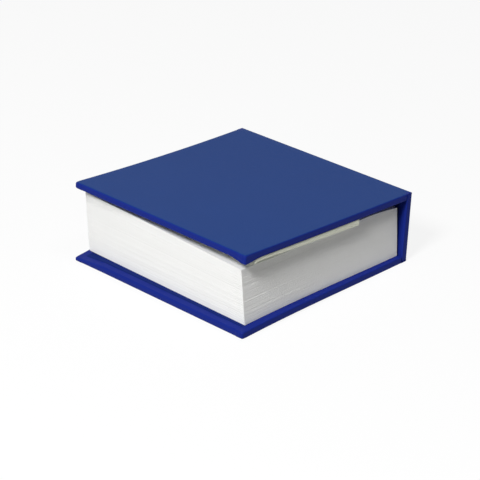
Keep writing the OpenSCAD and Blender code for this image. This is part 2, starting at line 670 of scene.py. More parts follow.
@dataclass(frozen=True)
class CaseSizes:
    """Sizes of the case in millimetres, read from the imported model.

    Attributes:
        half_width: Half the width of the case, from tail to head.
        covering: Thickness of the covering.
        lining: Thickness of the lining.
        panel: Thickness of a covered board.
        board_end: Distance from a fold to the end of its cover's board.
        back_depth: Distance from the fold to the fore-edge of the back cover.
        front_depth: The same for the front cover.
        foot_fold: X and Z of the fold between the back cover and the spine.
        top_fold: X and Z of the fold between the spine and the front cover.
        rise: How far the front cover climbs to its fore-edge, in radians.
        spine_top_gap: Distance from the upper fold to the end of the spine board.
        spine_foot_gap: Distance from the lower fold to the end of the spine board.
        turn_in: Width of the covering's turned-in strips.
        lining_inset: Distance from a board's free edges to those of the lining.
        lining_bend: Radius of the board's end that the lining goes round.
        lining_sink: How far the lining sinks between the turned-in strips.
        edge_radius: Radius of a covered board's tail and head edges.
        corner_radius: Radius of a cover's corners, seen from above.
        tuck: How far the fore-edge stands out where layers are tucked under it.
        tuck_reach: How far from a corner those layers end.
        tuck_ramps: Widths of the smooth steps up to them, from the corner and from
            the middle of the fore-edge.
        fold_radius: Radius of the outside of a fold.
        fold_clearance: Room between the spine's lining and the end of a closed
            cover's own covering.
    """

    half_width: float
    covering: float
    lining: float
    panel: float
    board_end: float
    back_depth: float
    front_depth: float
    foot_fold: tuple[float, float]
    top_fold: tuple[float, float]
    rise: float
    spine_top_gap: float
    spine_foot_gap: float
    turn_in: float = 12.0
    lining_inset: float = 3.0
    lining_bend: float = 0.3
    lining_sink: float = 0.12
    edge_radius: float = 0.4
    corner_radius: float = 0.7
    tuck: float = 0.12
    tuck_reach: float = 3.6
    tuck_ramps: tuple[float, float] = (0.7, 0.9)
    fold_radius: float = 0.5
    fold_clearance: float = 0.21

    @property
    def seam(self) -> float:
        """Where the covering of a cover ends and that of its fold begins."""
        return self.panel + self.lining + self.fold_clearance

    @property
    def lining_sheet(self) -> float:
        """Thickness of the lining's paper. The glue under it is the rest of its thickness."""
        return self.lining * 0.7

    def across_lining(self) -> Array:
        """Divides the lining from tail to head, finely where it leaves a turned-in strip.

        Returns:
            The places along Y.
        """
        edge, step = self.half_width - self.lining_inset, self.half_width - self.turn_in
        half = spread((0.0, 0), (step - 2.5, 5), (step + 1.5, 12), (edge, 4))
        return np.concatenate([-half[:0:-1], half])

    def sink_lining(self, from_edge: Array, y: Array, c: Array) -> Array:
        """Depths of the lining, which sinks between the turned-in strips.

        It sinks by lining_sink times two smooth steps a millimetre wide, which
        start where the strips end. Its flaps over the board's ends, which lie in
        the outer half of the panel, don't sink.

        Args:
            from_edge: Distances from the fore-edge, endless where there is none.
            y: Places from tail to head.
            c: The depth at each distance, before it sinks.

        Returns:
            The depths, a row for each distance and a column for each place.
        """
        sunk = smooth_step(from_edge - self.turn_in)[:, None]
        sunk = sunk * smooth_step(self.half_width - self.turn_in - np.abs(y))[None, :]
        sunk = sunk * np.where(c > self.panel / 2, 1.0, 0.0)[:, None]
        return c[:, None] - self.lining_sink * sunk

    @classmethod
    def read(cls) -> "CaseSizes":
        """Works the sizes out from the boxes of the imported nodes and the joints.

        The front board is a slab as thick as the back board. It is turned by the
        rise, which is small, so its box is higher than a board by about the rise
        times its length. The spine board's ends are measured along the way from
        fold to fold, less what its lean adds to its box.

        Returns:
            The sizes.
        """
        low, high = {}, {}
        for node in ("back_board", "back_covering", "front_board", "paper_block", "spine_board"):
            low[node], high[node] = (np.array(corner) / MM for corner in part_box(node))
        folds = {joint["name"]: np.array(joint["pos_m"]) / MM for joint in frame["joints"]}
        foot, top = folds["spine_fold"], folds["cover_fold"]
        board = high["back_board"][2] - low["back_board"][2]
        length, height = (high["front_board"] - low["front_board"])[[0, 2]]
        rise = float(np.arctan2(height - board, length))
        covering = low["back_board"][2]
        board_end = foot[0] - high["back_board"][0]
        panel = board + 2 * covering
        up = (top - foot) / np.linalg.norm(top - foot)
        spine_length = np.linalg.norm(top - foot)
        ends = [np.dot(corner - foot, up) for corner in (low["spine_board"], high["spine_board"])]
        tilt = abs(up[0]) * board
        return cls(
            half_width=float(high["back_covering"][1]),
            covering=float(covering),
            lining=float(low["paper_block"][2] - panel),
            panel=float(panel),
            board_end=float(board_end),
            back_depth=float(foot[0] - low["back_covering"][0]),
            front_depth=float((length - board * np.sin(rise)) / np.cos(rise) + covering + board_end),
            foot_fold=(float(foot[0]), float(foot[2])),
            top_fold=(float(top[0]), float(top[2])),
            rise=rise,
            spine_top_gap=float(spine_length - ends[1] - tilt),
            spine_foot_gap=float(ends[0] + tilt),
        )


@dataclass(frozen=True)
class Warp:
    """How far a covered board has warped inwards from a flat one.

    Attributes:
        sag: How far inwards its deepest line lies.
        slant: How much more it sags at the head than in the middle, as a share.
        lean: How far the deepest line lies towards the far end: it is at lean
            over lean plus one of the way.
        start: The distance from the fold at which the warp begins.
    """

    sag: float = 0.0
    slant: float = 0.0
    lean: int = 1
    start: float = 0.0


@dataclass(frozen=True)
class Panel:
    """The directions of a covered board in X and Z.

    Attributes:
        fold: X and Z of its fold, on the outside.
        along: The way from the fold along the board.
        inward: The way from its outside to its inside.
        depth: The distance from the fold to its far end.
        half_width: Half its width along Y.
        warp: How it has warped.
        pinch: How much of its thickness is lost at its two far corners, at the tail
            and at the head. A corner with more layers under it gains instead.
        pinch_reach: How far from each of them the thickness changes.
    """

    fold: Array
    along: Array
    inward: Array
    depth: float
    half_width: float
    warp: Warp = Warp()
    pinch: tuple[float, float] = (0.0, 0.0)
    pinch_reach: tuple[float, float] = (8.0, 16.0)

    def sink(self, a: Array, y: Array) -> Array:
        """How far inwards the board has warped.

        It is the sag times u to the power of the lean, times 1 - u, over the
        highest value that this product has. Here u is the share of the way from
        the start of the warp to the far end. It grows with y by the slant.

        Args:
            a: Distances from the fold.
            y: Places from tail to head.

        Returns:
            The distances inwards.
        """
        warp = self.warp
        u = np.clip((a - warp.start) / (self.depth - warp.start), 0.0, 1.0)
        peak = warp.lean**warp.lean / (warp.lean + 1) ** (warp.lean + 1)
        return warp.sag * (1 + warp.slant * y / self.half_width) * u**warp.lean * (1 - u) / peak

    def place(self, a: Array, y: Array, c: Array) -> Array:
        """Points of the board's own directions in the model's frame, warped.

        A depth is first cut by the pinch of each corner times a smooth step, which
        goes from 1 at the corner to 0 at the end of its reach.

        Args:
            a: Distances from the fold.
            y: Places from tail to head.
            c: Depths from the outside.

        Returns:
            The points, in one array with a last axis of three.
        """
        a, y, c = np.broadcast_arrays(a, y, c)
        lost = np.zeros_like(a, dtype=float)
        for pinch, reach, side in zip(self.pinch, self.pinch_reach, (-1.0, 1.0)):
            away = np.hypot(self.depth - a, self.half_width - side * y)
            lost = lost + pinch * smooth_step(1 - away / reach)
        depth = c * (1 - lost) + self.sink(a, y)
        plane = self.fold + a[..., None] * self.along + depth[..., None] * self.inward
        return np.stack([plane[..., 0], y, plane[..., 1]], axis=-1)


def wrap_profile(sizes: CaseSizes, offset: float, radius: Array) -> tuple[Array, Array]:
    """The covering's path round the edge of a board, as inset and depth.

    It runs in from the outside face to the edge, round a quarter circle, up the
    edge, round another quarter circle and back over the inside to the end of
    the turned-in strip. Moved in by an offset, the quarter circles keep their
    centres and lose the offset from their radius.

    Args:
        sizes: The sizes of the case.
        offset: How far inside the covering's outer face the path runs.
        radius: The radius of the quarter circles at each place along the edge.

    Returns:
        Insets from the edge of the board and depths from its outside, a row for
        each radius. Each flat has a point three radii further in than its circle.
    """
    radius = np.reshape(radius, (-1, 1))
    turn = np.radians(np.linspace(0, 90, 8))[None, :]
    flat = radius * np.array([[0.0, 3.0]]) + np.array([[sizes.turn_in, 0.0]])
    lower = radius - (radius - offset) * np.sin(turn)
    depth = radius - (radius - offset) * np.cos(turn)
    inset = np.concatenate([flat, lower, lower[:, ::-1], flat[:, ::-1]], axis=1)
    outside = np.full_like(flat, offset)
    depth = np.concatenate([outside, depth, sizes.panel - depth[:, ::-1], sizes.panel - outside], axis=1)
    return inset, depth


def wrap_level(columns: int) -> Array:
    """The level along the wrap profile: 0 outside, where the covering's colour has painted sheen, 1 from the
    edge inwards.
    """
    return smooth_step((np.arange(columns) - 2.0) / 5.0)[None, :]


@dataclass
class Cover:
    """A cover of the case: its greyboard, its covering and its lining.

    Attributes:
        name: The word that its pieces' names begin with.
        body: The body that it rides on.
        panel: Its directions.
        sizes: The sizes of the case.
        fore_radius: How round its fore-edge is, at the tail and at the head.
        flap_gap: How far past the covering's end the lining's flap lies.
        flap_end: The depth at which that flap ends, in thicknesses of covering.
    """

    name: str
    body: str
    panel: Panel
    sizes: CaseSizes
    fore_radius: tuple[float, float]
    flap_gap: float = 0.1
    flap_end: float = 1.5

    def build(self, finishes: Finishes) -> None:
        """Makes and dresses its three pieces.

        Args:
            finishes: The materials.
        """
        name, body = self.name, self.body
        finishes.fit(self.covering_skin(), name + "_covering_paper", Slot.COVERING, body, name + "_covering")
        finishes.fit(self.lining_skin(), name + "_lining_paper", Slot.LINING, body, name + "_lining")
        finishes.fit(self.board_skin(), name + "_greyboard", Slot.GREYBOARD, body, name + "_board")

    def roundness(self, line: Array) -> Array:
        """The radius of the rounded edge at each point of the outline.

        It is the fore-edge's within a corner's radius of that edge, that of the
        tail and head edges three radii away from it, and smooth between.

        Args:
            line: The points of the outline, as a distance from the fold and Y.

        Returns:
            The radii.
        """
        s = self.sizes
        low, high = self.fore_radius
        fore = low + (high - low) * (line[:, 1] + s.half_width) / (2 * s.half_width)
        share = smooth_step((line[:, 0] - self.panel.depth) / (3 * s.corner_radius) + 1.0)
        return s.edge_radius + (fore - s.edge_radius) * share

    def outline(self, start: float) -> tuple[Array, Array, Array]:
        """The three free edges of the cover, as seen from above.

        The line runs along the tail edge, round a corner's quarter circle, along
        the fore-edge, round the other corner and back along the head edge. Close
        to a corner the fore-edge stands out by the layers tucked under it, and a
        smooth step leads up to them on each side.

        Args:
            start: The distance from the fold at which the line begins and ends.

        Returns:
            The line's points, the places along the cover and those across it at
            which the flat inside the turned-in strips is divided.
        """
        s = self.sizes
        depth, half, radius = self.panel.depth, s.half_width, s.corner_radius
        along = np.linspace(start, depth - s.turn_in, 34)
        across = np.linspace(s.turn_in - half, half - s.turn_in, 34)
        to_corner = spread((depth - s.turn_in, 0), (depth - 5 * radius, 4), (depth - radius, 5))[1:]
        turn = np.radians(np.linspace(-90, 0, 9))[1:-1]
        round_a, round_y = depth - radius + radius * np.cos(turn), radius - half + radius * np.sin(turn)
        corner = np.stack([round_a, round_y], axis=1)
        rail = np.concatenate([along, to_corner])
        tail = np.stack([rail, np.full_like(rail, -half)], axis=1)
        fine = s.tuck_reach + 0.4  # the fine division runs on a little past the layers
        ends = spread((radius - half, 0), (fine - half, 14), (s.turn_in - half, 4))[:-1]
        front = np.concatenate([ends, across, -ends[::-1]])
        from_corner = half - np.abs(front)
        rising = smooth_step((from_corner - radius) / s.tuck_ramps[0])
        tucked = rising * smooth_step((s.tuck_reach - from_corner) / s.tuck_ramps[1])
        fore = np.stack([depth - s.tuck + s.tuck * tucked, front], axis=1)
        mirror = np.array([1.0, -1.0])
        line = np.concatenate([tail, corner, fore, corner[::-1] * mirror, tail[::-1] * mirror])
        return line, along, across

    def covering_skin(self) -> Skin:
        """The covering: one sheet round the board's three free edges.

        The wrapped strip is a grid of the outline by the wrap profile. A point
        at an inset lies that share of the turn-in's width along the line from
        the outline to the nearest point of the flat inside the strips, so the
        strips meet in mitres at the corners. The flat is a grid of its own.

        Returns:
            The closed skin.
        """
        s = self.sizes
        faces, flats = [], []
        for offset in (0.0, s.covering):
            wrapped, below, _ = self.wrapped(s.seam, offset)
            faces.append(wrapped)
            flats.append(below)
        skin = Skin()
        level = wrap_level(faces[0].shape[1])
        skin.add_sheet(*faces, walls=(Side.FIRST_ROW, Side.LAST_ROW, Side.LAST_COLUMN), level=level)
        skin.add_sheet(*flats, walls=(Side.FIRST_ROW,))
        self.add_joint_end(skin)
        return skin

    def wrapped(self, start: float, offset: float) -> tuple[Array, Array, Array]:
        """The surface at a depth inside the cover's outer face, in three grids.

        Args:
            start: The distance from the fold at which it begins.
            offset: How far inside the outer face it lies.

        Returns:
            The strip round the free edges, the flat outside between the strips
            and the flat inside between them.
        """
        s = self.sizes
        line, along, across = self.outline(start)
        limit = s.half_width - s.turn_in
        target = np.stack([np.minimum(line[:, 0], along[-1]), np.clip(line[:, 1], -limit, limit)], axis=1)
        inset, depth = wrap_profile(s, offset, self.roundness(line))
        plan = line[:, None] + (target - line)[:, None] * (inset / s.turn_in)[..., None]
        strip = self.panel.place(plan[..., 0], plan[..., 1], depth)
        grid_a, grid_y = np.meshgrid(along, across, indexing="ij")
        below, above = (self.panel.place(grid_a, grid_y, np.float64(c)) for c in (offset, s.panel - offset))
        return strip, below, above

    def add_joint_end(self, skin: Skin) -> None:
        """Closes the end of the cover beside its fold with a strip of covering.

        The strip is flat, and as thick as the lining beside it.

        Args:
            skin: The covering's skin, which gets the strip.
        """
        s = self.sizes
        y = np.linspace(s.covering - s.half_width, s.half_width - s.covering, 20)
        c = np.array([s.covering, s.panel - s.covering])
        grid_y, grid_c = np.meshgrid(y, c, indexing="ij")
        ends = [self.panel.place(np.float64(a), grid_y, grid_c) for a in (s.seam, s.seam + s.lining)]
        skin.add_sheet(*ends, level=1.0)

    def board_skin(self) -> Skin:
        """The greyboard: the solid inside the covering, closed at its joint end.

        Its end is a strip from the lower half of each row's profile to the upper
        half, and one between the two flats.

        Returns:
            The closed skin.
        """
        strip, below, above = self.wrapped(self.sizes.board_end, self.sizes.covering)
        half = strip.shape[1] // 2
        skin = Skin()
        for grid in (strip, below, above, np.stack([below[0], above[0]])):
            skin.add(grid)
        for row in (strip[0], strip[-1]):
            skin.add(np.stack([row[:half], row[::-1][:half]]))
        return skin

    def lining_skin(self) -> Skin:
        """The lining: a sheet over the inside that goes down the board's end.

        Its path is a flat line, a quarter circle and a straight flap. It sinks
        between the turned-in strips under it.

        Returns:
            The closed skin.
        """
        s = self.sizes
        top, bend, gap = s.panel + s.lining, s.lining_bend, self.flap_gap
        flat = np.linspace(self.panel.depth - s.lining_inset, s.seam + bend, 60)
        turn = np.radians(np.linspace(0, 90, 6))
        y = s.across_lining()
        faces = []
        for offset in (0.0, s.lining_sheet):
            radius = bend - offset + gap
            a = np.concatenate([flat, s.seam + bend - radius * np.sin(turn), [s.seam - gap + offset]])
            bent = top - bend - gap + radius * np.cos(turn)
            c = np.concatenate([np.full_like(flat, top - offset), bent, [s.covering * self.flap_end]])
            depth = s.sink_lining(self.panel.depth - a, y, c)
            faces.append(self.panel.place(a[:, None], y[None, :], depth))
        skin = Skin()
        skin.add_sheet(*faces)
        return skin


@dataclass
class Spine:
    """The spine of the case: its covering and its lining.

    Attributes:
        panel: Its directions, from its foot.
        sizes: The sizes of the case.
        flap_gap: How far past each of the board's ends the flaps lie.
        flap_end: The depth at which the lining's flaps end, in thicknesses of
            covering.
    """

    panel: Panel
    sizes: CaseSizes
    flap_gap: float = 0.12
    flap_end: float = 1.6

    def build(self, finishes: Finishes) -> None:
        """Makes and dresses its two pieces, and dresses the solid of its board.

        Args:
            finishes: The materials.
        """
        finishes.fit(self.covering_skin(), "spine_covering_paper", Slot.COVERING, "spine", "spine_covering")
        finishes.fit(self.lining_skin(), "spine_lining_paper", Slot.LINING, "spine", "spine_lining")
        finishes.dress(frame["nodes"]["spine_board"], Slot.GREYBOARD)

    @property
    def ends(self) -> tuple[float, float]:
        """Where its board and covering begin and end, measured from its foot."""
        return self.sizes.spine_foot_gap, self.panel.depth - self.sizes.spine_top_gap

    def covering_skin(self) -> Skin:
        """The covering: the wrap profile at the tail and the head, carried up it.

        Beyond the lining it closes each end of the board with a flap, which is a
        flat sheet as thick as the lining's own flap beside it.

        Returns:
            The closed skin.
        """
        s = self.sizes
        a = np.linspace(*self.ends, 12)
        faces = []
        for offset in (0.0, s.covering):
            inset, depth = (row[0] for row in wrap_profile(s, offset, np.array(s.edge_radius)))
            y = np.concatenate([inset[::-1] - s.half_width, s.half_width - inset])
            c = np.concatenate([depth[::-1], depth])
            faces.append(self.panel.place(a[:, None], y[None, :], c[None, :]))
        level = wrap_level(len(inset))
        skin = Skin()
        skin.add_sheet(*faces, level=np.concatenate([level[:, ::-1], level], axis=1))
        flap_y = np.linspace(s.half_width - s.lining_inset, s.half_width - s.edge_radius, 6)
        flap_c = np.linspace(s.covering * 1.2, s.panel - s.covering * 1.2, 4)
        foot, head = self.ends
        for end, outer in ((foot, foot - self.flap_gap), (head, head + self.flap_gap)):
            for side in (-1.0, 1.0):
                grid_y, grid_c = np.meshgrid(side * flap_y, flap_c, indexing="ij")
                flaps = [self.panel.place(np.float64(each), grid_y, grid_c) for each in (outer, end)]
                skin.add_sheet(*flaps, level=1.0)
        return skin

    def lining_skin(self) -> Skin:
        """The lining: a sheet over the inside that goes round both ends.

        Its path up the spine is a flat line between two quarter circles, with a
        straight flap over each end of the board.

        Returns:
            The closed skin.
        """
        s = self.sizes
        top, bend, gap = s.panel + s.lining, s.lining_bend, self.flap_gap
        foot, head = self.ends
        turn = np.radians(np.linspace(0, 90, 6))
        y = s.across_lining()
        faces = []
        for offset in (0.0, s.lining_sheet):
            radius = bend - offset + gap
            low, high = foot + bend - radius * np.cos(turn), head - bend + radius * np.sin(turn)
            a = np.concatenate([[foot - gap + offset], low, high, [head + gap - offset]])
            bent = top - bend - gap + radius * np.array([np.sin(turn), np.cos(turn)])
            c = np.concatenate([[s.covering * self.flap_end], *bent, [s.covering * self.flap_end]])
            depth = s.sink_lining(np.full_like(a, np.inf), y, c)
            faces.append(self.panel.place(a[:, None], y[None, :], depth))
        skin = Skin()
        skin.add_sheet(*faces)
        return skin


@dataclass(frozen=True)
class Wing:
    """One side of a fold.

    Attributes:
        away: The way from the fold along the outside.
        inward: The way from the outside to the inside.
        reach: How far the covering and the lining of the fold go.
    """

    away: Array
    inward: Array
    reach: float


@dataclass
class Fold:
    """The covering and lining that bend between two boards.

    Attributes:
        name: The word that its pieces' names begin with.
        bodies: The bodies on its two sides; not used.
        line: X and Z of the fold.
        first: Its side on the first body.
        second: Its side on the second body.
        sizes: The sizes of the case.
    """

    name: str
    bodies: tuple[str, str]
    line: Array
    first: Wing
    second: Wing
    sizes: CaseSizes

    def build(self, finishes: Finishes) -> None:
        """Makes and dresses its two pieces.

        Args:
            finishes: The materials.
        """
        covering = self.covering_skin().build(self.name + "_covering_bend")
        lining = self.lining_skin().build(self.name + "_lining_bend")
        for piece, slot in ((covering, Slot.COVERING), (lining, Slot.LINING)):
            finishes.dress(piece, slot)
            self.blend(piece)

    def path(self) -> tuple[Array, Array]:
        """The outside of the fold in X and Z, and the way inwards at each point.

        It is two straight lines joined by an arc that touches both. The arc's
        centre lies its radius inside each line, and the radius is cut where the
        shorter line has no room for it. Along the arc the way inwards swings
        evenly from one side's to the other's.

        Returns:
            The points and the ways inwards, as rows of X and Z.
        """
        a, b = self.first, self.second
        to_centre = (a.inward + b.inward) / (1 + a.inward @ b.inward)
        room = min(a.reach, b.reach) / float(to_centre @ a.away)
        used = 0.96  # the share of the room that leaves a straight stretch
        radius = min(self.sizes.fold_radius, used * room)
        centre = self.line + radius * to_centre
        touch = float(radius * to_centre @ a.away)
        swing = np.linspace(0, 1, 9)[:, None]
        arc = (1 - swing) * a.inward + swing * b.inward
        arc /= np.linalg.norm(arc, axis=1, keepdims=True)
        start = self.line + np.linspace(a.reach, touch, 8)[:-1, None] * a.away
        end = self.line + np.linspace(touch, b.reach, 4)[1:, None] * b.away
        points = np.concatenate([start, centre - radius * arc, end])
        ways = np.concatenate([np.tile(a.inward, (len(start), 1)), arc, np.tile(b.inward, (len(end), 1))])
        return points, ways

    def sheet(self, y: Array, outer: Array, inner: Array) -> Skin:
        """A sheet that follows the fold.

        Its points lie at their depth from the path, along the way inwards. The
        outside's level rises from 0 to 1 between 0.6 and 0.2 mm from the tail and
        the head, and the inside's is 1. On the covering, level 0 takes the colour
        with painted sheen.

        Args:
            y: Places from tail to head.
            outer: The depth of the sheet's outside at each of them.
            inner: The depth of its inside.

        Returns:
            The closed skin.
        """
        points, ways = self.path()
        faces = []
        for depth in (outer, inner):
            plane = points[:, None] + ways[:, None] * depth[None, :, None]
            along = np.broadcast_to(y, plane.shape[:2])
            faces.append(np.stack([plane[..., 0], along, plane[..., 1]], axis=-1))
        level = smooth_step((np.abs(y) - self.sizes.half_width + 0.6) / 0.4)
        skin = Skin()
        skin.add_sheet(*faces, level=level, inner_level=1.0)
        return skin

    def across(self, edge: float) -> Array:
        """Divides a sheet from tail to head, finely where a turned-in strip ends.

        Args:
            edge: How far from the middle it ends.

        Returns:
            The places along Y.
        """
        limit, step = self.sizes.half_width - self.sizes.turn_in, 0.2
        ends = ((-limit - step, 6), (step - limit, 4), (limit - step, 20), (limit + step, 4))
        return spread((-edge, 0), *ends, (edge, 6))

    def covering_depth(self, y: Array) -> Array:
        """Depth of the covering's inside: a fifth more where its edge is turned in.

        Args:
            y: Places from tail to head.

        Returns:
            The depths.
        """
        s = self.sizes
        turned = smooth_step((np.abs(y) - s.half_width + s.turn_in) / 0.3 + 0.5)
        return s.covering * (1 + 0.2 * turned)

    def covering_skin(self) -> Skin:
        """The covering, with its folded edges rounded at the tail and the head.

        Close to an edge both faces draw in along a quarter circle, whose radius is
        0.6 of the covering.

        Returns:
            The closed skin.
        """
        half = self.sizes.half_width
        edge = self.sizes.covering * 0.6
        turn = half - edge + edge * np.sin(np.radians(np.linspace(0, 90, 6)))
        y = np.concatenate([-turn[::-1], self.across(half - edge)[1:-1], turn])
        past = np.maximum(np.abs(y) - half + edge, 0)
        drop = edge - np.sqrt(np.maximum(edge**2 - past**2, 0))
        return self.sheet(y, drop, self.covering_depth(y) - drop)

    def lining_skin(self) -> Skin:
        """The lining, laid on the covering's inside.

        Returns:
            The closed skin.
        """
        y = self.across(self.sizes.half_width - self.sizes.lining_inset)
        depth = self.covering_depth(y)
        return self.sheet(y, depth, depth + self.sizes.lining_sheet)

    def blend(self, piece: bpy.types.Object) -> None:
        """Bakes a piece's place into its mesh; it is not bent between the fold's two bodies.

        Two points a fifth of a millimetre apart, across the fold and square to its
        bisector, are worked out but not used.

        Args:
            piece: The piece.
        """
        across = self.second.away - self.first.away
        across = across / np.linalg.norm(across) * 0.1
        start, end = self.line - across, self.line + across
        points = [Vector((float(p[0]), 0.0, float(p[1]))) * MM for p in (start, end)]
        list(self.bodies)
        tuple(points[0])
        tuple(points[1])
        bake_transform(piece)


@dataclass
class SheetStack:
    """A stack of cut sheets as one closed skin, each sheet's edge raised.

    Attributes:
        ends: The places of the loose edge and the held edge, along the sheets.
        sides: The places of the two side edges.
        sheets: How many sheets there are.
        groove: How deep the line between two sheets is.
        jitter: How far the sheets stray, along them and sideways, at that edge.
        seed: Where the random numbers start.
        steps: Along and across, how often the skin is divided.
        wander: How far the slow wander goes from a sheet to the next.
        scatter: How far a sheet strays on its own.
        edge_rows: The shares of a sheet's thickness at which its edge has a row.
    """

    ends: tuple[float, float]
    sides: tuple[float, float]
    sheets: int
    groove: float
    jitter: float
    seed: int
    steps: tuple[int, int] = (26, 16)
    wander: float = 0.16
    scatter: float = 0.45
    edge_rows: tuple[float, float] = (0.14, 0.86)

    def strays(self) -> tuple[Array, Array]:
        """How far each sheet strays, along it and sideways at its loose edge.

        Each is a random number for the sheet and half of a slow wander through
        the stack, which is the running sum of random steps, less its straight
        trend. Their sum is multiplied by the jitter.

        Returns:
            The two lists of distances.
        """
        random = np.random.default_rng(self.seed)
        found = []
        for _ in range(2):
            slow = np.cumsum(random.normal(0, self.wander, self.sheets))
            slow -= np.linspace(slow[0], slow[-1], self.sheets)
            found.append(self.jitter * (slow * 0.5 + random.normal(0, self.scatter, self.sheets)))
        return found[0], found[1]

    def skin(self, place: Place) -> Skin:
        """The skin: a ring of side faces, and a flat at each end of the stack.

        The ring is a grid of the stack's outline by its levels. Each sheet has
        two rows at its own outline, and between two sheets one row lies deeper.

        Args:
            place: Gives points from places along and across the sheets and from
                the share of the way up the stack.

        Returns:
            The closed skin.
        """
        (u0, u1), (v0, v1) = self.ends, self.sides
        u, v = np.linspace(u0, u1, self.steps[0]), np.linspace(v0, v1, self.steps[1])
        ring_u = np.concatenate([u[:-1], np.full(len(v) - 1, u1), u[:0:-1], np.full(len(v) - 1, u0), u[:1]])
        ring_v = np.concatenate([np.full(len(u) - 1, v0), v[:-1], np.full(len(u) - 1, v1), v[:0:-1], v[:1]])
        count = self.sheets
        whole = np.repeat(np.arange(count), 2)
        edge_level = whole + np.tile(self.edge_rows, count)
        level = np.concatenate([[0.0], edge_level, np.arange(1, count), [count]])
        sheet = np.concatenate([[0], whole, np.arange(1, count), [count - 1]])
        inset = np.concatenate([np.zeros(2 * count + 1), np.full(count - 1, self.groove), [0.0]])
        order = np.argsort(level, kind="stable")
        level, sheet, inset = level[order], sheet[order], inset[order]
        skin = Skin(sharp_deg=50.0)
        heights = level[:, None]
        ring = self.lay(place, ring_u[None], ring_v[None], sheet[:, None], inset[:, None], heights)
        skin.add(ring, heights)
        flat_u, flat_v = np.meshgrid(u, v, indexing="ij")
        for number, height in ((0, 0.0), (count - 1, float(count))):
            skin.add(self.lay(place, flat_u, flat_v, number, 0.0, height), height)
        return skin

    def lay(self, place: Place, u: Array, v: Array, sheet: Array, inset: Array, level: Array) -> Array:
        """Points of the skin, after the sheets' strays and the grooves.

        A sheet strays along itself and sideways in proportion to its distance
        from the held edge. A groove moves the outline towards the middle, but
        where the places count down to the held edge it moves the two ends out.

        Args:
            place: As for the skin.
            u: Places along the sheets.
            v: Places across them.
            sheet: The number of the sheet at each point.
            inset: How deep the groove is at each point.
            level: The height at each point, in sheets.

        Returns:
            The points.
        """
        (u0, u1), (v0, v1) = self.ends, self.sides
        along, sideways = self.strays()
        free = (u1 - u) / (u1 - u0)
        u_in = np.where(np.isclose(u, u0), 1.0, np.where(np.isclose(u, u1), -1.0, 0.0)) * inset
        v_in = np.where(np.isclose(v, v0), 1.0, np.where(np.isclose(v, v1), -1.0, 0.0)) * inset
        moved_u, moved_v = u + u_in + along[sheet] * free, v + v_in + sideways[sheet] * free
        return place(moved_u, moved_v, level / self.sheets)


